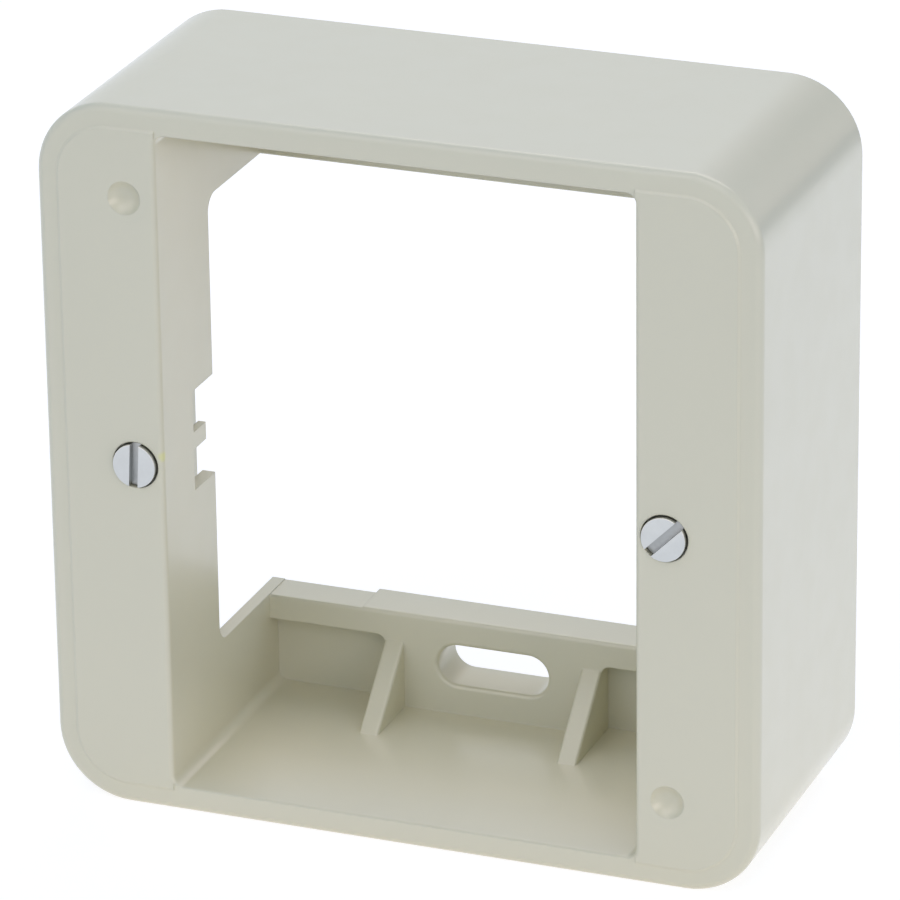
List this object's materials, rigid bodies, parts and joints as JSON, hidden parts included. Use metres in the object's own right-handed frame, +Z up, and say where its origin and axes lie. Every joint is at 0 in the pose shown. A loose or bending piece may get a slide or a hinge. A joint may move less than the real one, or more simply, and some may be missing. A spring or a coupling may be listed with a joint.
{
  "type": "surface mount frame",
  "caption": "Square moulded box frame that stands a flush wall device off the wall, with back bars slotted for wall screws and a slotted device screw on each side.",
  "frame": {"origin": "centre of the wall plane, midway between the two fixing slots", "axes": "+Z up, -Y out of the wall towards the user, +X to the right seen from the front"},
  "size_m": [0.081, 0.034, 0.081],
  "materials": {
    "cream_plastic": "semi-gloss",
    "zinc_plated_steel": "satin",
    "brass": "satin"
  },
  "bodies": {
    "frame": {"moulded_frame": "cream_plastic", "threaded_insert_left": "brass", "threaded_insert_right": "brass"},
    "left_screw": {"screw_left": "zinc_plated_steel"},
    "right_screw": {"screw_right": "zinc_plated_steel"}
  },
  "joints": [
    {"name": "left_screw_turn", "type": "hinge", "parent": "frame", "child": "left_screw", "pos_m": [-0.03, -0.0335, 0], "axis": [0, 1, 0], "continuous": true},
    {"name": "right_screw_turn", "type": "hinge", "parent": "frame", "child": "right_screw", "pos_m": [0.03, -0.0335, 0], "axis": [0, 1, 0], "continuous": true}
  ]
}
